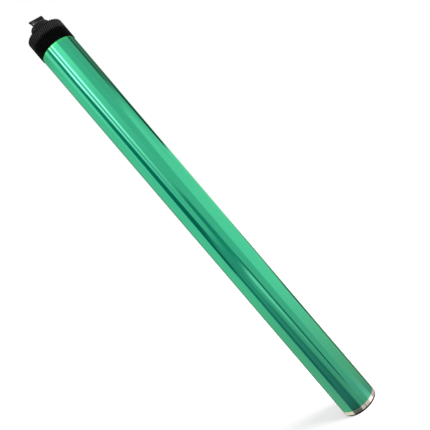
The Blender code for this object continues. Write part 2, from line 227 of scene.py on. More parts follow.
coat = {
    "green": (0.058, 0.605, 0.322, 1), "deepGreen": (0.052, 0.575, 0.304, 1), "clouds": (38.0, 2.0),
    # painted shade: the green darkens from a height down to the tube's foot, where less light reaches it
    "paintedShadeFoot": (0.070, 0.470, 0.275, 1), "paintedShadeFrom": 160 * mm,
    "limeEdge": (0.070, 0.740, 0.235, 1), "limeWidth": 1.8 * mm, "limeFade": 1.2 * mm,
    "grazing": (0.45, 0.90, 0.65, 1), "linePitch": 0.6 * mm, "roughness": (0.08, 0.11),
    "clearWeight": 0.35, "clearRoughness": 0.05, "clearIndex": 1.45,
}


def coatedFinish():
    finish, tree, shader = turnedMetal(
        "greenCoating", Specular_Tint=coat["grazing"], Coat_Weight=coat["clearWeight"],
        Coat_Roughness=coat["clearRoughness"], Coat_IOR=coat["clearIndex"])
    place = placeOnPiece(tree)
    height = heightOf(tree, place)
    body = blend(tree, noiseAt(tree, place, *coat["clouds"]), coat["green"], coat["deepGreen"])
    # painted shade: darker and duller towards the tube's foot
    body = blend(tree, ramp(tree, height, coat["paintedShadeFrom"], tubeLow.z), body, coat["paintedShadeFoot"])
    edge, fade = tubeHigh.z - coat["limeWidth"], coat["limeFade"]
    body = blend(tree, ramp(tree, height, edge - fade, edge + fade), body, coat["limeEdge"])
    tree.links.new(body, shader.inputs["Base Color"])
    lines = turnedLines(tree, height, coat["linePitch"])
    tree.links.new(ramp(tree, lines, *noiseSpan, *coat["roughness"]), shader.inputs["Roughness"])
    return finish


bareMetal = {
    "groove": (0.76, 0.73, 0.65, 1), "ridge": (0.90, 0.87, 0.79, 1), "roughness": (0.08, 0.13),
    "linePitch": 0.08 * mm, "lineDepth": 0.002 * mm,
}


def bareMetalFinish():
    finish, tree, shader = turnedMetal("bareAluminium")
    lines = turnedLines(tree, heightOf(tree, placeOnPiece(tree)), bareMetal["linePitch"])
    colour = blend(tree, lines, bareMetal["groove"], bareMetal["ridge"])
    tree.links.new(colour, shader.inputs["Base Color"])
    tree.links.new(ramp(tree, lines, *noiseSpan, *bareMetal["roughness"]), shader.inputs["Roughness"])
    addBump(tree, shader, lines, bareMetal["lineDepth"])
    return finish


plastic = {
    "black": (0.0016, 0.0016, 0.0018, 1), "grain": (3200.0, 2.0), "grainDepth": 0.0012 * mm,
    "patches": (180.0, 3.0), "patchSpan": (0.3, 0.7), "patchDust": (0.85, 1.0), "patchRoughness": 0.10,
}
mouldings = {
    # the gear's grey is mostly a painted sheen, laid over its upper part only
    "satinGearMoulding": {"colour": (0.030, 0.0295, 0.0300, 1), "specular": 0.06, "roughness": 0.38},
    "polishedJournal": {"colour": (0.009, 0.0085, 0.0085, 1), "specular": 0.13, "roughness": 0.13},
    "satinFlangeMoulding": {"colour": (0.006, 0.0055, 0.0055, 1), "specular": 0.05, "roughness": 0.36},
}


def plasticFinish(name, fade=None):
    # black under a thin, patchy dust. With a fade of two heights the grey is also a painted sheen,
    # lighter on the upper part where light falls, and there is none below them.
    look = mouldings[name]
    finish, tree, shader = newFinish(name, Specular_IOR_Level=look["specular"])
    place = placeOnPiece(tree)
    patches = noiseAt(tree, place, *plastic["patches"])
    dustAndPaintedSheen = ramp(tree, patches, *plastic["patchSpan"], *plastic["patchDust"])
    if fade:
        dustAndPaintedSheen = calc(tree, "MULTIPLY", dustAndPaintedSheen, ramp(tree, heightOf(tree, place), *fade))
    tree.links.new(blend(tree, dustAndPaintedSheen, plastic["black"], look["colour"]), shader.inputs["Base Color"])
    tree.links.new(calc(tree, "MULTIPLY_ADD", patches, plastic["patchRoughness"], look["roughness"]),
                   shader.inputs["Roughness"])
    addBump(tree, shader, noiseAt(tree, place, *plastic["grain"]), plastic["grainDepth"])
    return finish


innerLooks = {
    "springBronze": {"dark": (0.60, 0.40, 0.20, 1), "light": (0.78, 0.56, 0.32, 1),
                     "roughness": (0.22, 0.36), "noise": (1.0, 3.0), "rolled": (40.0, 2400.0, 40.0),
                     "depth": 0.002 * mm, "shader": {"Metallic": 1.0}},
    "damperFiller": {"dark": (0.13, 0.13, 0.14, 1), "light": (0.26, 0.26, 0.27, 1),
                     "roughness": (0.6, 0.8), "noise": (900.0, 4.0),
                     "depth": 0.01 * mm, "shader": {"Specular_IOR_Level": 0.3}},
    "damperRubber": {"dark": (0.014, 0.014, 0.014, 1), "light": (0.030, 0.030, 0.029, 1),
                     "roughness": (0.65, 0.85), "noise": (420.0, 3.0),
                     "depth": 0.006 * mm, "shader": {"Specular_IOR_Level": 0.25}},
}


def innerFinish(name):
    # two close colours in specks, or in streaks where the sheet is rolled
    look = innerLooks[name]
    finish, tree, shader = newFinish(name, **look["shader"])
    place = placeOnPiece(tree)
    if "rolled" in look:
        place = addNode(tree, "ShaderNodeMapping", Vector=place, Scale=look["rolled"]).outputs["Vector"]
    specks = noiseAt(tree, place, *look["noise"])
    tree.links.new(blend(tree, specks, look["dark"], look["light"]), shader.inputs["Base Color"])
    tree.links.new(ramp(tree, specks, *noiseSpan, *look["roughness"]), shader.inputs["Roughness"])
    addBump(tree, shader, specks, look["depth"])
    return finish


# Coated tube

tube = {
    "steps": 256, "wall": 1.0 * mm, "seatRelief": 0.2 * mm, "seatDepth": 10.0 * mm,
    "coating": 0.03 * mm, "bareEnd": 3.0 * mm, "edge": 0.2 * mm, "edgeSteps": 3,
}


def makeTube():
    foot, top = tubeLow.z, tubeHigh.z
    bare = drumRadius - tube["coating"]
    bore = drumRadius - tube["wall"]
    seat = bore + tube["seatRelief"]
    edge = tube["edge"]
    coatFoot = foot + tube["bareEnd"]
    section = arcPoints((drumRadius - edge, top - edge), edge, 90, 0, tube["edgeSteps"])
    section += [
        (drumRadius, coatFoot + tube["coating"]),
        (bare, coatFoot),
    ]
    section += arcPoints((bare - edge, foot + edge), edge, 0, -90, tube["edgeSteps"])
    section += arcPoints((seat + edge, foot + edge), edge, 270, 180, tube["edgeSteps"])
    section += [
        (seat, foot + tube["seatDepth"]),
        (bore, foot + tube["seatDepth"]),
        (bore, top - tube["seatDepth"]),
        (seat, top - tube["seatDepth"]),
    ]
    section += arcPoints((seat + edge, top - edge), edge, 180, 90, tube["edgeSteps"])
    piece = turnPiece("drum_tube_coated", section, tube["steps"])
    piece.data.materials.append(bareMetalFinish())
    piece.data.materials.append(coatedFinish())
    for face in piece.data.polygons:
        reach = math.hypot(face.center.x, face.center.y)
        if reach > bare - edge and face.center.z > coatFoot:
            face.material_index = 1
    smoothShade(piece)
    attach(piece, "root")
    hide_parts("drum_tube")
    print("coated tube:", len(piece.data.polygons), "faces")


# Drive gear: one moulding, from the spigot in the tube to the tip of the coupling

gear = {
    "teeth": 60, "columnsPerTooth": 16, "helixAngle": math.radians(17), "module": 0.5 * mm,
    "rootDepth": 1.25,  # in modules
    "tipShare": 0.13, "rootShare": 0.39, "softness": 0.45, "toothEdge": 0.09 * mm, "toothEdgeSteps": 3,
    "foot": 360.2 * mm, "width": 16.2 * mm, "bandRows": 12,
    # painted sheen: the teeth go from black to grey between these heights, lighter where light falls on
    # the top
    "paintedSheenFrom": 8.0 * mm, "paintedSheenFull": 11.0 * mm,  # above the foot
    "rimWall": 0.5 * mm, "lip": 0.2 * mm, "webHeight": 3.0 * mm, "web": 2.0 * mm, "fillet": 0.4 * mm,
    "hubRadius": 10.3 * mm, "hubWall": 2.2 * mm, "hubSetback": 1.0 * mm, "hubEdge": 0.4 * mm,
    "journalRadius": 8.2 * mm, "journalWall": 2.6 * mm, "journalRise": 8.0 * mm,
    "journalFillet": 0.2 * mm, "journalFilletSteps": 3, "polishFrom": 0.1 * mm,
    "crown": 1.6 * mm, "crownAngle": 60, "crownEase": 2, "crownEdge": 0.06 * mm, "crownSteps": 8,
    "corners": 3, "reach": 6.8 * mm, "cornerRound": 1.0 * mm,
    "twist": math.radians(-32), "phase": math.radians(-10), "twistRows": 12,
    "tipEdge": 0.35 * mm, "tipEdgeSteps": 5, "edgeSteps": 4,
    "holeRadius": 3.0 * mm, "holeDepth": 8.0 * mm, "holeEdge": 0.2 * mm, "holeFloorRing": 0.8,
    "coreRoof": 3.0 * mm,
    "spigotRadius": 13.9 * mm, "spigotWall": 1.6 * mm, "spigotLead": 0.6 * mm,
    "ribs": 6, "ribThickness": 1.2 * mm, "ribSetback": 1.0 * mm, "ribSink": 0.5 * mm,
}
gearTop = gear["foot"] + gear["width"]
hubFace = gearTop - gear["hubSetback"]
journalTop = hubFace + gear["journalRise"]
holeFloor = gearHigh.z - gear["holeDepth"]
toothTip = drumRadius + gear["module"]
toothRoot = drumRadius - gear["rootDepth"] * gear["module"]
bandTurn = gear["width"] * math.tan(gear["helixAngle"]) / drumRadius
couplingTurn = gear["phase"] - gear["twist"]  # at its foot
roundRow, toothedRow, corneredRow = 0, 1, 2


def roundRows(points, turn):
    return [(radius, 0.0, height, turn, roundRow) for radius, height in points]


def couplingRows():
    # from the hole's floor over the tip and down the twisted sides
    tip, tipTurn = gearHigh.z, gear["phase"]
    hole, holeEdge = gear["holeRadius"], gear["holeEdge"]
    edge, fillet, steps = gear["tipEdge"], gear["fillet"], gear["edgeSteps"]
    wide = gear["reach"] * 2  # never reached, because the outline cuts a row back first
    floor = [(0.0, holeFloor), (hole * gear["holeFloorRing"], holeFloor), (hole, holeFloor)]
    rows = roundRows(floor, tipTurn)
    rows += roundRows(arcPoints((hole + holeEdge, tip - holeEdge), holeEdge, 180, 90, steps), tipTurn)
    for outward, drop in arcPoints((-edge, -edge), edge, 90, 0, gear["tipEdgeSteps"]):
        rows.append((wide, -outward, tip + drop, tipTurn, corneredRow))
    wallTop, wallFoot = tip - edge, journalTop + fillet
    for k in range(1, gear["twistRows"] + 1):
        height = wallTop + (wallFoot - wallTop) * k / gear["twistRows"]
        turn = tipTurn - gear["twist"] * (wallTop - height) / (wallTop - journalTop)
        rows.append((wide, 0.0, height, turn, corneredRow))
    for outward, rise in arcPoints((fillet, fillet), fillet, 180, 270, steps)[1:]:
        rows.append((wide, -outward, journalTop + rise, couplingTurn, corneredRow))
    return rows


def hubRows():
    # over the journal's rounded shoulder, down to the hub's face and through the ring recess
    crown, crownAngle = gear["crown"], gear["crownAngle"]
    crownDrop = crown * math.sin(math.radians(crownAngle))
    crownCentre = (gear["journalRadius"] - crown, journalTop - crownDrop)
    brink = arcPoints(crownCentre, crown, crownAngle, crownAngle, 1)[0]
    crownStart = crownAngle - gear["crownEase"]
    rows = roundRows([(brink[0] - gear["crownEdge"], journalTop)], couplingTurn)
    rows += roundRows(arcPoints(crownCentre, crown, crownStart, 0, gear["crownSteps"]), couplingTurn)

    hub, hubEdge, lip = gear["hubRadius"], gear["hubEdge"], gear["lip"]
    journalFillet, fillet, steps = gear["journalFillet"], gear["fillet"], gear["edgeSteps"]
    webTop = gear["foot"] + gear["webHeight"] + gear["web"]
    recess = toothRoot - gear["rimWall"]
    points = arcPoints((gear["journalRadius"] + journalFillet, hubFace + journalFillet), journalFillet,
                       180, 270, gear["journalFilletSteps"])
    points += arcPoints((hub - hubEdge, hubFace - hubEdge), hubEdge, 90, 0, steps)
    points += arcPoints((hub + fillet, webTop + fillet), fillet, 180, 270, steps)
    points += arcPoints((recess - fillet, webTop + fillet), fillet, 270, 360, steps)
    points += [(recess, gearTop - lip), (recess + lip, gearTop)]
    return rows + roundRows(points, bandTurn)


def toothRows():
    # down the toothed band, turning with the helix
    foot, width, edge, rows = gear["foot"], gear["width"], gear["toothEdge"], []
    for outward, drop in arcPoints((-edge, -edge), edge, 90, 0, gear["toothEdgeSteps"]):
        rows.append((toothTip, -outward, gearTop + drop, bandTurn * (1 + drop / width), toothedRow))
    for k in range(1, gear["bandRows"]):
        share = 1 - k / gear["bandRows"]
        rows.append((toothTip, 0.0, foot + width * share, bandTurn * share, toothedRow))
    for outward, rise in arcPoints((-edge, edge), edge, 0, -90, gear["toothEdgeSteps"]):
        rows.append((toothTip, -outward, foot + rise, bandTurn * rise / width, toothedRow))
    return rows


def spigotRows():
    # down the spigot and up inside it to the roof of the hollow core
    spigot, spigotFoot, lead = gear["spigotRadius"], gearLow.z, gear["spigotLead"]
    inside, core = spigot - gear["spigotWall"], gear["hubRadius"] - gear["hubWall"]
    neck = gear["journalRadius"] - gear["journalWall"]
    coreFoot = spigotFoot + gear["ribSetback"]
    webFoot = gear["foot"] + gear["webHeight"]
    return roundRows([
        (spigot, gear["foot"]),
        (spigot, spigotFoot + lead),
        (spigot - lead, spigotFoot),
        (inside, spigotFoot),
        (inside, webFoot),
        (gear["hubRadius"], webFoot),
        (gear["hubRadius"], coreFoot),
        (core, coreFoot),
        (core, hubFace - gear["hubWall"]),
        (neck, hubFace - gear["hubWall"]),
        (neck, holeFloor - gear["coreRoof"]),
        (0.0, holeFloor - gear["coreRoof"]),
    ], 0.0)


def gearSection():
    # rows of (radius, inset, height, turn, kind), from the hole's floor over the tip, down the
    # outside and up the inside to the core's roof. A toothed or three-cornered row is cut back
    # to its outline, less the inset.
    return couplingRows() + hubRows() + toothRows() + spigotRows()


def sectionMesh(rows):
    mesh = bpy.data.meshes.new("gearSection")
    mesh.from_pydata([row[:3] for row in rows], [(k, k + 1) for k in range(len(rows) - 1)], [])
    for name, index in (("turn", 3), ("kind", 4)):
        values = mesh.attributes.new(name, "FLOAT", "POINT")
        values.data.foreach_set("value", [float(row[index]) for row in rows])
    return mesh


def newTree(name, inputs):
    tree = bpy.data.node_groups.new(name, "GeometryNodeTree")
    tree.is_modifier = True
    tree.interface.new_socket("Geometry", in_out="INPUT", socket_type="NodeSocketGeometry")
    tree.interface.new_socket("Geometry", in_out="OUTPUT", socket_type="NodeSocketGeometry")
    for label, kind in inputs:
        tree.interface.new_socket(label, in_out="INPUT", socket_type="NodeSocket" + kind)
    return tree, tree.nodes.new("NodeGroupInput").outputs, tree.nodes.new("NodeGroupOutput").inputs


def runTree(piece, tree, values):
    # a modifier's inputs are set by their identifiers before the piece is first evaluated
    modifier = piece.modifiers.new(tree.name, "NODES")
    modifier.node_group = tree
    for item in tree.interface.items_tree:
        if item.item_type == "SOCKET" and item.in_out == "INPUT" and item.name in values:
            modifier[item.identifier] = values[item.name]
    makePlain(piece)


def readAttribute(tree, name):
    reader = addNode(tree, "GeometryNodeInputNamedAttribute", {"data_type": "FLOAT"}, Name=name)
    return reader.outputs["Attribute"]


def keepAttribute(tree, geometry, name, value):
    keeper = addNode(tree, "GeometryNodeStoreNamedAttribute", {"data_type": "FLOAT", "domain": "POINT"},
                     Geometry=geometry, Name=name, Value=value)
    return keeper.outputs["Geometry"]


def patternShare(tree, column, columns, copies):
    # 0 on the middle of each copy of a pattern round the axis, 0.5 halfway to the next
    around = calc(tree, "DIVIDE", calc(tree, "MULTIPLY", column, copies), columns)
    past = calc(tree, "FRACT", calc(tree, "ADD", around, 0.5))
    return calc(tree, "ABSOLUTE", calc(tree, "SUBTRACT", past, 0.5))


def gearTree():
    tree, given, result = newTree("helicalGearMoulding", [
        ("Teeth", "Int"), ("Columns Per Tooth", "Int"), ("Tip Radius", "Float"), ("Root Radius", "Float"),
        ("Tip Share", "Float"), ("Root Share", "Float"), ("Softness", "Float"),
        ("Corner Reach", "Float"), ("Corner Round", "Float"), ("Material", "Material"),
    ])
    columns = calc(tree, "MULTIPLY", given["Teeth"], given["Columns Per Tooth"])

    # the section remembers its radius, inset and height, and the path its column
    position = addNode(tree, "GeometryNodeInputPosition").outputs["Position"]
    place = addNode(tree, "ShaderNodeSeparateXYZ", Vector=position).outputs
    section = given["Geometry"]
    for name, axis in (("rowRadius", "X"), ("rowInset", "Y"), ("rowHeight", "Z")):
        section = keepAttribute(tree, section, name, place[axis])
    profile = addNode(tree, "GeometryNodeMeshToCurve", Mesh=section).outputs["Curve"]
    circle = addNode(tree, "GeometryNodeCurvePrimitiveCircle", Resolution=columns, Radius=1.0)
    index = addNode(tree, "GeometryNodeInputIndex").outputs["Index"]
    path = keepAttribute(tree, circle.outputs["Curve"], "column", index)
    skin = addNode(tree, "GeometryNodeCurveToMesh", Curve=path, Profile_Curve=profile).outputs["Mesh"]
    column = readAttribute(tree, "column")
    kind = readAttribute(tree, "kind")

    # helical teeth: straight flanks, eased at the tip and the root
    share = patternShare(tree, column, columns, given["Teeth"])
    straight = ramp(tree, share, given["Tip Share"], given["Root Share"], kind="LINEAR")
    eased = ramp(tree, share, given["Tip Share"], given["Root Share"])
    flank = blend(tree, given["Softness"], straight, eased, "FLOAT")
    depth = calc(tree, "SUBTRACT", given["Tip Radius"], given["Root Radius"])
    toothLimit = calc(tree, "SUBTRACT", given["Tip Radius"], calc(tree, "MULTIPLY", flank, depth))

    # cornered prism: an arc at each corner, a flat side between
    halfSide = math.pi / gear["corners"]
    slope, rise = math.cos(halfSide), math.sin(halfSide)
    corner = patternShare(tree, column, columns, gear["corners"])
    away = calc(tree, "MULTIPLY", corner, math.tau / gear["corners"])
    centre = calc(tree, "SUBTRACT", given["Corner Reach"], given["Corner Round"])
    sideDistance = calc(tree, "ADD", calc(tree, "MULTIPLY", centre, slope), given["Corner Round"])
    offSide = calc(tree, "COSINE", calc(tree, "SUBTRACT", halfSide, away))
    sideLimit = calc(tree, "DIVIDE", sideDistance, offSide)
    across = calc(tree, "MULTIPLY", centre, calc(tree, "SINE", away))
    under = calc(tree, "SUBTRACT", calc(tree, "POWER", given["Corner Round"], 2.0),
                 calc(tree, "MULTIPLY", across, across))
    arcLimit = calc(tree, "ADD", calc(tree, "MULTIPLY", centre, calc(tree, "COSINE", away)),
                    calc(tree, "SQRT", calc(tree, "MAXIMUM", under, 0.0)))
    tangentX = calc(tree, "ADD", centre, calc(tree, "MULTIPLY", given["Corner Round"], slope))
    tangentY = calc(tree, "MULTIPLY", given["Corner Round"], rise)
    onArc = calc(tree, "LESS_THAN", away, calc(tree, "ARCTAN2", tangentY, tangentX))
    prismLimit = blend(tree, onArc, sideLimit, arcLimit, "FLOAT")

    def only(row, limit):
        same = calc(tree, "COMPARE", kind, float(row), 0.1)  # kinds are whole numbers
        return calc(tree, "MULTIPLY", same, limit)

    # each row takes its own kind of limit, and a round row's is wider than any radius
    cut = calc(tree, "ADD", only(toothedRow, toothLimit), only(corneredRow, prismLimit))
    limit = calc(tree, "ADD", only(roundRow, 1.0), cut)
    reach = calc(tree, "SUBTRACT", limit, readAttribute(tree, "rowInset"))
    radius = calc(tree, "MINIMUM", readAttribute(tree, "rowRadius"), reach)
    around = calc(tree, "MULTIPLY", calc(tree, "DIVIDE", column, columns), math.tau)
    angle = calc(tree, "ADD", around, readAttribute(tree, "turn"))
    x = calc(tree, "MULTIPLY", radius, calc(tree, "COSINE", angle))
    y = calc(tree, "MULTIPLY", radius, calc(tree, "SINE", angle))
    height = readAttribute(tree, "rowHeight")
    spot = addNode(tree, "ShaderNodeCombineXYZ", X=x, Y=y, Z=height).outputs["Vector"]
    shaped = addNode(tree, "GeometryNodeSetPosition", Geometry=skin, Position=spot).outputs["Geometry"]
    welded = addNode(tree, "GeometryNodeMergeByDistance", Geometry=shaped, Distance=weldDistance)
    real = addNode(tree, "GeometryNodeRealizeInstances", Geometry=welded.outputs["Geometry"])
    painted = addNode(tree, "GeometryNodeSetMaterial", Geometry=real.outputs["Geometry"],
                      Material=given["Material"])
    tree.links.new(painted.outputs["Geometry"], result["Geometry"])
    return tree


def ribTree():
    # upright plates round the axis, from an inner to an outer radius
    tree, given, result = newTree("radialRibs", [
        ("Ribs", "Int"), ("Inside", "Float"), ("Outside", "Float"), ("Thickness", "Float"),
        ("Foot", "Float"), ("Top", "Float"), ("Material", "Material"),
    ])
    length = calc(tree, "SUBTRACT", given["Outside"], given["Inside"])
    height = calc(tree, "SUBTRACT", given["Top"], given["Foot"])
    size = addNode(tree, "ShaderNodeCombineXYZ", X=length, Y=given["Thickness"], Z=height)
    plate = addNode(tree, "GeometryNodeMeshCube", Size=size.outputs["Vector"]).outputs["Mesh"]
    middle = calc(tree, "MULTIPLY", calc(tree, "ADD", given["Outside"], given["Inside"]), 0.5)
    ring = addNode(tree, "GeometryNodeMeshCircle", Vertices=given["Ribs"], Radius=middle).outputs["Mesh"]
    index = addNode(tree, "GeometryNodeInputIndex").outputs["Index"]
    turn = calc(tree, "MULTIPLY", calc(tree, "DIVIDE", index, given["Ribs"]), math.tau)
    spin = addNode(tree, "ShaderNodeCombineXYZ", Z=turn).outputs["Vector"]
    spin = addNode(tree, "FunctionNodeEulerToRotation", Euler=spin).outputs["Rotation"]
    placed = addNode(tree, "GeometryNodeInstanceOnPoints", Points=ring, Instance=plate,
                     Rotation=spin).outputs["Instances"]
    level = calc(tree, "MULTIPLY", calc(tree, "ADD", given["Top"], given["Foot"]), 0.5)
    lift = addNode(tree, "ShaderNodeCombineXYZ", Z=level).outputs["Vector"]
    lifted = addNode(tree, "GeometryNodeTransform", Geometry=placed, Translation=lift).outputs["Geometry"]
    real = addNode(tree, "GeometryNodeRealizeInstances", Geometry=lifted).outputs["Geometry"]
    painted = addNode(tree, "GeometryNodeSetMaterial", Geometry=real, Material=given["Material"])
    tree.links.new(painted.outputs["Geometry"], result["Geometry"])
    return tree


ribs = ribTree()


def makeRibs(name, inside, outside, foot, top, finish):
    piece = addObject(name, bpy.data.meshes.new(name))
    runTree(piece, ribs, {
        "Ribs": gear["ribs"], "Inside": inside - gear["ribSink"], "Outside": outside + gear["ribSink"],
        "Thickness": gear["ribThickness"], "Foot": foot, "Top": top, "Material": finish,
    })
    return piece


def makeDriveGear():
    # the upper teeth and the top get a painted sheen, faded in between two heights
    fade = (gear["foot"] + gear["paintedSheenFrom"], gear["foot"] + gear["paintedSheenFull"])
    finish = plasticFinish("satinGearMoulding", fade)
    polished = plasticFinish("polishedJournal")
    piece = addObject("drive_gear_moulding", sectionMesh(gearSection()))
    runTree(piece, gearTree(), {
        "Teeth": gear["teeth"], "Columns Per Tooth": gear["columnsPerTooth"],
        "Tip Radius": toothTip, "Root Radius": toothRoot,
        "Tip Share": gear["tipShare"], "Root Share": gear["rootShare"], "Softness": gear["softness"],
        "Corner Reach": gear["reach"], "Corner Round": gear["cornerRound"], "Material": finish,
    })
    for name in ("turn", "kind", "rowRadius", "rowInset", "rowHeight", "column"):
        piece.data.attributes.remove(piece.data.attributes[name])
    faceOutwards(piece.data)
    inside = gear["spigotRadius"] - gear["spigotWall"]
    ribFoot = gearLow.z + 2 * gear["ribSetback"]  # the core ends one setback in, and the ribs two
    ribTop = gear["foot"] + gear["webHeight"] + gear["ribSink"]
    walls = makeRibs("gearRibs", gear["hubRadius"], inside, ribFoot, ribTop, finish)
    joinPieces(piece, [walls])
    piece.data.materials.append(polished)
    for face in piece.data.polygons:
        if face.center.z > hubFace + gear["polishFrom"]:
            face.material_index = len(piece.data.materials) - 1
    smoothShade(piece)
    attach(piece, "root")
    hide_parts("drive_gear")
    print("drive gear:", len(piece.data.polygons), "faces")


# End flange: collar, recessed face, bearing boss and spigot in one moulding

flange = {
    "steps": 192, "collarStep": 0.5 * mm, "collar": 1.0 * mm, "land": 2.5 * mm,
    "edge": 0.2 * mm, "edgeSteps": 3, "fillet": 0.4 * mm, "filletSteps": 4,
    "recess": 3.5 * mm, "web": 1.6 * mm, "top": 10.3 * mm, "spigotLead": 0.6 * mm,
    "boreRadius": 4.0 * mm, "boreEdge": 0.3 * mm, "bossWall": 2.5 * mm, "bossSetback": 0.5 * mm,
    "studs": 2, "studRadius": 0.8 * mm, "studRise": 0.8 * mm, "padRadius": 1.6 * mm, "studSteps": 24,
    "plateTop": 10.9 * mm, "studCircle": 10.25 * mm,
}


def makeStuds(finish, foot, top):
    # the studs that the earthing plate is staked on
    head = flange["plateTop"] + flange["studRise"]
    section = [
        (0.0, head),
        (flange["studRadius"], head),
        (flange["studRadius"], top),
        (flange["padRadius"], top),
        (flange["padRadius"], foot),
        (0.0, foot),
    ]
    studs = []
    for k in range(flange["studs"]):
        stud = turnPiece("stud", section, flange["studSteps"])
        angle = math.tau * k / flange["studs"]
        middle = Vector((math.cos(angle), math.sin(angle), 0)) * flange["studCircle"]
        for vertex in stud.data.vertices:
            vertex.co += middle
        stud.data.materials.append(finish)
        studs.append(stud)
    return studs


def makeEndFlange():
    finish = plasticFinish("satinFlangeMoulding")
    top, collar = flange["top"], flange["collar"]
    recess, setback = flange["recess"], flange["bossSetback"]
    collarRadius = drumRadius - flange["collarStep"]
    landInside = collarRadius - flange["land"]
    spigot, lead = gear["spigotRadius"], flange["spigotLead"]
    inside = spigot - gear["spigotWall"]
    webTop = recess + flange["web"]
    bore, boss = flange["boreRadius"], flange["boreRadius"] + flange["bossWall"]
    edge, fillet, boreEdge = flange["edge"], flange["fillet"], flange["boreEdge"]
    halfEdge = edge / 2
    steps, filletSteps = flange["edgeSteps"], flange["filletSteps"]
    section = arcPoints((bore + boreEdge, top - boreEdge), boreEdge, 180, 90, steps)
    section += [(boss, top), (boss, webTop), (inside, webTop), (inside, top)]
    section += [(spigot - lead, top), (spigot, top - lead), (spigot, collar)]
    section += arcPoints((collarRadius - halfEdge, collar - halfEdge), halfEdge, 90, 0, steps)
    section += arcPoints((collarRadius - edge, edge), edge, 0, -90, steps)
    section += arcPoints((landInside + edge, edge), edge, 270, 180, steps)
    section += arcPoints((landInside - fillet, recess - fillet), fillet, 0, 90, filletSteps)
    section += arcPoints((boss + fillet, recess - fillet), fillet, 90, 180, filletSteps)
    section += arcPoints((boss - edge, setback + edge), edge, 0, -90, steps)
    section += arcPoints((bore + boreEdge, setback + boreEdge), boreEdge, 270, 180, steps)
    piece = turnPiece("end_flange_moulding", section, flange["steps"])
    piece.data.materials.append(finish)
    ribFoot = webTop - gear["ribSink"]
    walls = makeRibs("flangeRibs", boss, inside, ribFoot, top - gear["ribSetback"], finish)
    joinPieces(piece, [walls] + makeStuds(finish, ribFoot, top))
    smoothShade(piece)
    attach(piece, "root")
    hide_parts("end_flange")
    print("end flange:", len(piece.data.polygons), "faces")


def dressInnerPieces():
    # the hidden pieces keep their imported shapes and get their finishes
    rubber = innerFinish("damperRubber")
    finishes = {
        "ground_contact": innerFinish("springBronze"), "damper_weight": innerFinish("damperFiller"),
        "damper_ring_upper": rubber, "damper_ring_lower": rubber,
    }
    for name, finish in finishes.items():
        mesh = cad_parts[name].data
        mesh.materials.clear()
        mesh.materials.append(finish)
    print("inner pieces:", ", ".join(finishes))


# Studio: pale floor, soft lamps, and a wall and a card that the glossy drum mirrors

view = {
    "place": (0.0, -375.43 * mm, 191.47 * mm), "aim": (8.725 * mm, 0.0, 185.156 * mm),
    "roll": 40.477, "lens": 40.406, "sensor": 36.0, "near": 10 * mm, "far": 30.0,
}


def makeCamera():
    data = bpy.data.cameras.new("camera")
    data.lens = view["lens"]
    data.sensor_width = view["sensor"]
    data.clip_start = view["near"]
    data.clip_end = view["far"]
    camera = addObject("camera", data)
    place, aim = Vector(view["place"]), Vector(view["aim"])
    level = (aim - place).to_track_quat("-Z", "Y")
    camera.rotation_mode = "QUATERNION"
    camera.location = place
    camera.rotation_quaternion = level @ Quaternion((0, 0, 1), math.radians(-view["roll"]))
    bpy.context.scene.camera = camera
    bpy.context.scene.view_settings.view_transform = "Standard"
    print("camera placed")


studio = {
    "skyStrength": 0.40, "floorColour": (0.80, 0.80, 0.80, 1), "floorRoughness": 0.9, "floorSize": 16.0,
    "floorDrop": 0.05 * mm, "glowNear": 0.40, "glowFar": 0.68, "glowFrom": 0.2, "glowTo": 2.2,
}


def makeSky():
    # white where it is seen directly or mirrored, plainer where it lights the drum
    world = bpy.data.worlds.new("whiteStudio")
    bpy.context.scene.world = world
    world.use_nodes = True
    tree = world.node_tree
    path = tree.nodes.new("ShaderNodeLightPath").outputs
    mirrored = calc(tree, "MAXIMUM", path["Is Glossy Ray"], path["Is Transmission Ray"])
    seen = calc(tree, "MAXIMUM", path["Is Camera Ray"], mirrored)
    background = tree.nodes["Background"].inputs
    background["Color"].default_value = white
    strength = ramp(tree, seen, 0.0, 1.0, studio["skyStrength"], 1.0, "LINEAR")
    tree.links.new(strength, background["Strength"])


def makeFloor():
    half = studio["floorSize"] / 2
    level = cadLow.z - studio["floorDrop"]
    corners = [(-half, -half, level), (half, -half, level), (half, half, level), (-half, half, level)]
    mesh = bpy.data.meshes.new("floor")
    mesh.from_pydata(corners, [], [(0, 1, 2, 3)])
    floor = addObject("floor", mesh)
    floor.visible_glossy = False  # so the drum mirrors the studio wall down to its foot
    finish, tree, shader = newFinish("paleFloor", Base_Color=studio["floorColour"],
                                     Roughness=studio["floorRoughness"], Emission_Color=white)
    camera = tree.nodes.new("ShaderNodeLightPath").outputs["Is Camera Ray"]
    away = addNode(tree, "ShaderNodeVectorMath", {"operation": "LENGTH"}, Vector=placeOnPiece(tree))
    glow = ramp(tree, away.outputs["Value"], studio["glowFrom"], studio["glowTo"],
                studio["glowNear"], studio["glowFar"])
    tree.links.new(calc(tree, "MULTIPLY", camera, glow), shader.inputs["Emission Strength"])
    mesh.materials.append(finish)


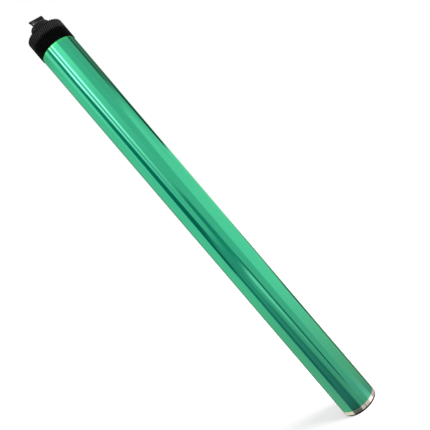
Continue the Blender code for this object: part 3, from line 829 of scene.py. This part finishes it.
# The drum mirrors a round studio wall with its panels, flags and lamps. Each of these lies
# between two sides, in degrees from the front towards +X, and between two heights in metres. Its
# edges are soft over so many degrees and metres. Sides and glow are those at its top, and those
# at its foot are given where they differ. Each patch lies over the ones before it.
wall = {"radius": 1.0, "heights": (-1.3, 1.9), "columns": 360, "rows": 320, "glow": (1.08, 1.0, 0.98)}
wallPatches = {
    "dimFloor": {"sides": (-200, 200), "heights": (-1.4, -0.30), "soft": (5, 0.5),
                 "glow": (0.81, 0.68, 0.57)},
    "leftWall": {"sides": (-200, -71), "heights": (0.0, 2.0), "soft": (5, 0.6),
                 "glow": (0.88, 0.88, 0.88), "footGlow": (0.82, 0.84, 0.84)},
    "leftWallLow": {"sides": (-200, -71), "heights": (-1.4, 0.0), "soft": (5, 0.6),
                    "glow": (0.80, 0.76, 0.70), "footGlow": (0.78, 0.68, 0.60)},
    "leftFar": {"sides": (-200, -142), "heights": (-1.4, 2.0), "soft": (36, 0.1),
                "glow": (0.42, 0.50, 0.49), "footGlow": (0.20, 0.36, 0.30)},
    "leftHigh": {"sides": (-200, -92), "heights": (0.80, 2.0), "soft": (25, 0.12),
                 "glow": (0.45, 0.45, 0.48)},
    "leftGleam": {"sides": (-83, -69), "footSides": (-81, -73), "heights": (0.48, 2.0), "soft": (7, 0.3),
                  "glow": (3.0, 1.55, 1.80), "footGlow": (1.2, 1.05, 1.05)},
    "middleWall": {"sides": (-50, 47), "heights": (-1.4, 2.0), "soft": (6, 0.1),
                   "glow": (0.62, 0.71, 0.74), "footGlow": (0.66, 0.70, 0.68)},
    "rightHigh": {"sides": (47, 100), "heights": (0.56, 2.0), "soft": (6, 0.08),
                  "glow": (0.64, 0.65, 0.66)},
    "rightSlope": {"sides": (47, 58), "footSides": (40, 47), "heights": (0.32, 0.60), "soft": (6, 0.04),
                   "glow": (0.66, 0.70, 0.72), "footGlow": (0.66, 0.72, 0.72)},
    "rightDim": {"sides": (80, 104), "footSides": (84, 104), "heights": (0.37, 0.58), "soft": (14, 0.08),
                 "glow": (0.86, 0.84, 0.82), "footGlow": (0.92, 0.91, 0.90)},
    "lampField": {"sides": (-45, 17), "heights": (0.60, 0.95), "soft": (9, 0.55),
                  "glow": (2.00, 1.70, 1.60), "footGlow": (1.2, 1.10, 1.10)},
    "lampGap": {"sides": (-34, -26), "heights": (0.40, 0.95), "soft": (8, 0.35),
                "glow": (0.60, 0.90, 0.95), "footGlow": (0.50, 0.72, 0.80)},
    "lampCorner": {"sides": (-52, -43), "footSides": (-50, -43), "heights": (0.655, 0.73),
                   "soft": (5, 0.04), "glow": (4.0, 1.7, 2.4), "footGlow": (6.5, 2.1, 3.2)},
    "lampLeft": {"sides": (-44, -38), "footSides": (-40, -36), "heights": (0.42, 0.95), "soft": (6, 0.50),
                 "glow": (13.0, 2.60, 4.8), "footGlow": (4.2, 1.8, 2.3)},
    "lampRight": {"sides": (-24, -15), "footSides": (-23, -15), "heights": (0.44, 0.95),
                  "soft": (6, 0.45), "glow": (8.5, 2.40, 4.0), "footGlow": (4.0, 1.9, 2.3)},
    "blackFlag": {"sides": (-61, -50), "footSides": (-72, -39), "heights": (-0.01, 0.90),
                  "soft": (3, 0.06), "glow": (0.01, 0.38, 0.38), "footGlow": (0.0, 0.13, 0.16)},
    "greyFlag": {"sides": (-70, -34), "footSides": (-71, -4), "heights": (-0.60, -0.01),
                 "soft": (5, 0.06), "glow": (0.36, 0.49, 0.52), "footGlow": (0.13, 0.23, 0.30)},
    "greyFlagEdge": {"sides": (-68, -56), "footSides": (-67, -54), "heights": (-0.42, 0.01),
                     "soft": (6, 0.06), "glow": (0.03, 0.29, 0.33), "footGlow": (0.04, 0.21, 0.26)},
    "greyFlagFold": {"sides": (-38, -30), "footSides": (-27, -17), "heights": (-0.45, -0.11),
                     "soft": (7, 0.08), "glow": (0.13, 0.33, 0.34), "footGlow": (0.11, 0.25, 0.27)},
    "greyFlagHead": {"sides": (-56, 6), "footSides": (-56, 8), "heights": (-0.03, 0.12),
                     "soft": (7, 0.10), "glow": (0.24, 0.46, 0.50), "footGlow": (0.30, 0.40, 0.44)},
    "slimFlagHead": {"sides": (-12, 4), "footSides": (-17, 8), "heights": (0.02, 0.28), "soft": (6, 0.08),
                     "glow": (0.06, 0.28, 0.30), "footGlow": (0.12, 0.40, 0.42)},
    "whitePanelShade": {"sides": (-30, -12), "footSides": (-14, -5), "heights": (-0.48, -0.08),
                        "soft": (6, 0.06), "glow": (0.53, 0.60, 0.61), "footGlow": (0.46, 0.54, 0.53)},
    "whitePanel": {"sides": (-14, 1), "footSides": (-5, 7), "heights": (-0.36, -0.01), "soft": (6, 0.04),
                   "glow": (1.00, 0.98, 0.98), "footGlow": (0.54, 0.60, 0.56)},
    "whitePanelShine": {"sides": (-16, -2), "footSides": (-8, 0), "heights": (-0.20, -0.01),
                        "soft": (5, 0.05), "glow": (2.00, 1.15, 1.32), "footGlow": (1.20, 0.98, 1.00)},
    "whitePanelFoot": {"sides": (-6, 6), "footSides": (-5, 8), "heights": (-0.60, -0.36),
                       "soft": (6, 0.04), "glow": (0.56, 0.56, 0.52), "footGlow": (0.62, 0.64, 0.60)},
    "slimFlag": {"sides": (2, 9), "footSides": (9, 16), "heights": (-0.42, 0.03), "soft": (4, 0.05),
                 "glow": (0.0, 0.15, 0.20), "footGlow": (0.0, 0.16, 0.16)},
    "rightOuter": {"sides": (94, 126), "heights": (0.60, 2.0), "soft": (8, 0.06),
                   "glow": (0.95, 0.62, 0.62), "footGlow": (0.40, 0.29, 0.29)},
    "rightFrame": {"sides": (91, 112), "footSides": (95, 110), "heights": (0.60, 2.0), "soft": (7, 0.05),
                   "glow": (0.44, 0.25, 0.25), "footGlow": (0.24, 0.10, 0.11)},
    "rightFrameLow": {"sides": (92, 126), "footSides": (97, 126), "heights": (0.45, 0.64),
                      "soft": (8, 0.10), "glow": (0.60, 0.62, 0.64), "footGlow": (0.80, 0.82, 0.82)},
    "rightPost": {"sides": (116, 158), "footSides": (122, 152), "heights": (0.405, 0.66),
                  "soft": (9, 0.03), "glow": (0.07, 0.15, 0.13), "footGlow": (0.03, 0.05, 0.05)},
    "rightPostHigh": {"sides": (122, 166), "heights": (0.62, 2.0), "soft": (8, 0.03),
                      "glow": (0.90, 0.60, 0.60), "footGlow": (0.22, 0.18, 0.18)},
    "rightPostLow": {"sides": (130, 147), "heights": (-1.4, -0.06), "soft": (9, 0.12),
                     "glow": (0.24, 0.06, 0.08), "footGlow": (0.85, 0.45, 0.50)},
    "rightPostDark": {"sides": (130, 150), "footSides": (130, 148), "heights": (-0.22, -0.11),
                      "soft": (8, 0.08), "glow": (0.05, 0.02, 0.03)},
    "rightShade": {"sides": (140, 186), "heights": (-0.09, 0.10), "soft": (14, 0.14),
                   "glow": (0.36, 0.38, 0.36), "footGlow": (0.30, 0.32, 0.30)},
    "footGleam": {"sides": (50, 66), "footSides": (46, 104), "heights": (-0.60, -0.38),
                  "soft": (10, 0.12), "glow": (0.86, 0.76, 0.66), "footGlow": (0.98, 0.84, 1.14)},
    "rightCorner": {"sides": (88, 128), "heights": (-1.4, -0.47), "soft": (12, 0.10),
                    "glow": (0.62, 0.50, 0.60)},
    "skirtingLeft": {"sides": (-200, -71), "heights": (-1.4, -0.508), "soft": (5, 0.01),
                     "glow": (0.86, 0.84, 0.62)},
    "skirtingDark": {"sides": (-75, -14), "heights": (-1.4, -0.508), "soft": (5, 0.01),
                     "glow": (0.105, 0.065, 0.045)},
    "skirtingFront": {"sides": (-14, 52), "heights": (-1.4, -0.508), "soft": (6, 0.01),
                      "glow": (0.68, 0.61, 0.55)},
    "skirtingSeam": {"sides": (7, 19), "heights": (-1.4, -0.508), "soft": (6, 0.01),
                     "glow": (0.34, 0.28, 0.22)},
    "skirtingRight": {"sides": (50, 86), "heights": (-1.4, -0.508), "soft": (14, 0.01),
                      "glow": (1.50, 1.38, 1.40)},
    "skirtingFar": {"sides": (86, 185), "heights": (-1.4, -0.508), "soft": (8, 0.01),
                    "glow": (0.58, 0.55, 0.54)},
    "ceiling": {"sides": (-200, 200), "heights": (0.865, 2.0), "soft": (5, 0.03),
                "glow": (0.90, 0.90, 0.90), "footGlow": (0.75, 0.75, 0.75)},
    "ceilingLeft": {"sides": (-200, -95), "heights": (0.84, 2.0), "soft": (30, 0.04),
                    "glow": (0.30, 0.30, 0.30), "footGlow": (0.25, 0.25, 0.25)},
    "backPost": {"sides": (186, 199), "heights": (-1.4, 2.0), "soft": (5, 0.1),
                 "glow": (0.20, 0.20, 0.20)},
}


def easeIn(value):
    # a smooth step from 0 to 1
    share = np.clip(value, 0.0, 1.0)
    return share * share * (3 - 2 * share)


def windowOf(value, low, high, soft):
    # 1 between the two limits and 0 beyond them, half way at each limit
    return easeIn((value - low) / soft + 0.5) * easeIn((high - value) / soft + 0.5)


def wallGlow(azimuths, heights):
    # colours in rows of one height
    glow = np.ones((len(heights), len(azimuths), 3)) * wall["glow"]
    heights = heights[:, None]
    for patch in wallPatches.values():
        low, high = patch["heights"]
        share = np.clip((heights - low) / (high - low), 0.0, 1.0)
        footSides = patch.get("footSides", patch["sides"])
        left, right = (foot + (top - foot) * share for foot, top in zip(footSides, patch["sides"]))
        softAngle, softHeight = patch["soft"]
        sides = np.maximum(windowOf(azimuths, left, right, softAngle),
                           windowOf(azimuths + 360, left, right, softAngle))
        cover = (windowOf(heights, low, high, softHeight) * sides)[:, :, None]
        topGlow, footGlow = np.array(patch["glow"]), np.array(patch.get("footGlow", patch["glow"]))
        glow += (footGlow + (topGlow - footGlow) * share[:, :, None] - glow) * cover
    return glow


def keepForMirrors(piece):
    # the drum mirrors it, and it neither shows nor lights nor shades anything itself
    for ray in ("camera", "diffuse", "transmission", "volume_scatter", "shadow"):
        setattr(piece, "visible_" + ray, False)


def glowFinish(name, strength):
    return newFinish(name, Base_Color=black, Specular_IOR_Level=0.0, Roughness=1.0,
                     Emission_Color=white, Emission_Strength=strength)


def makeWall():
    columns, rows, radius = wall["columns"], wall["rows"], wall["radius"]
    azimuths = np.linspace(-180, 180, columns, endpoint=False)
    heights = np.linspace(*wall["heights"], rows + 1)
    x, y = np.sin(np.radians(azimuths)) * radius, -np.cos(np.radians(azimuths)) * radius
    points = [(x[k], y[k], height) for height in heights for k in range(columns)]
    faces = []
    for row in range(rows):
        for column in range(columns):
            here, after = row * columns + column, row * columns + (column + 1) % columns
            faces.append((here, after, after + columns, here + columns))
    colours = np.ones((rows + 1, columns, 4))
    colours[:, :, :3] = wallGlow(azimuths, heights)
    mesh = bpy.data.meshes.new("studioWall")
    mesh.from_pydata(points, [], faces)
    mesh.attributes.new("glow", "FLOAT_COLOR", "POINT").data.foreach_set("color", colours.ravel())
    piece = addObject("studioWall", mesh)
    finish, tree, shader = glowFinish("wallGlow", 1.0)
    glow = addNode(tree, "ShaderNodeAttribute", {"attribute_name": "glow"}).outputs["Color"]
    tree.links.new(glow, shader.inputs["Emission Color"])
    mesh.materials.append(finish)
    keepForMirrors(piece)
    print("studio wall:", len(wallPatches), "patches")


# Small bright cards close to the drum, for the glints on its polished edges
cards = {
    "tipCard": {"place": (-17 * mm, -12.5 * mm, 385.4 * mm), "half": (4 * mm, 1.2 * mm), "glow": 120.0},
}


def makeCard(name, card):
    place, up = Vector(card["place"]), Vector((0, 0, 1))
    across = up.cross(place).normalized()
    wide, high = card["half"]
    corners = [place + across * wide * x + up * high * z for x, z in ((-1, -1), (1, -1), (1, 1), (-1, 1))]
    mesh = bpy.data.meshes.new(name)
    mesh.from_pydata(corners, [], [(0, 1, 2, 3)])
    piece = addObject(name, mesh)
    mesh.materials.append(glowFinish(name, card["glow"])[0])
    keepForMirrors(piece)


lamps = {
    "overhead": {"azimuth": 150, "height": 2.40, "distance": 0.70, "size": (1.2, 1.2), "power": 8.0},
    "rightSoft": {"azimuth": 55, "height": 1.70, "distance": 2.10, "size": (1.2, 1.8), "power": 76.0},
}


def makeLamp(name, lamp):
    data = bpy.data.lights.new(name, "AREA")
    data.shape = "RECTANGLE"
    data.size, data.size_y = lamp["size"]
    data.energy = lamp["power"]
    angle, away = math.radians(lamp["azimuth"]), lamp["distance"]
    place = Vector((math.sin(angle) * away, -math.cos(angle) * away, lamp["height"]))
    piece = addObject(name, data)
    piece.location = place
    target = Vector((0, 0, (cadLow.z + cadHigh.z) / 2))
    piece.rotation_mode = "QUATERNION"
    piece.rotation_quaternion = (target - place).to_track_quat("-Z", "Y")
    piece.visible_camera = False
    piece.visible_glossy = False


makeTube()
makeDriveGear()
makeEndFlange()
dressInnerPieces()
makeCamera()
makeSky()
makeFloor()
makeWall()
for name, card in cards.items():
    makeCard(name, card)
for name, lamp in lamps.items():
    makeLamp(name, lamp)
print("studio: floor and", len(lamps), "lamps")
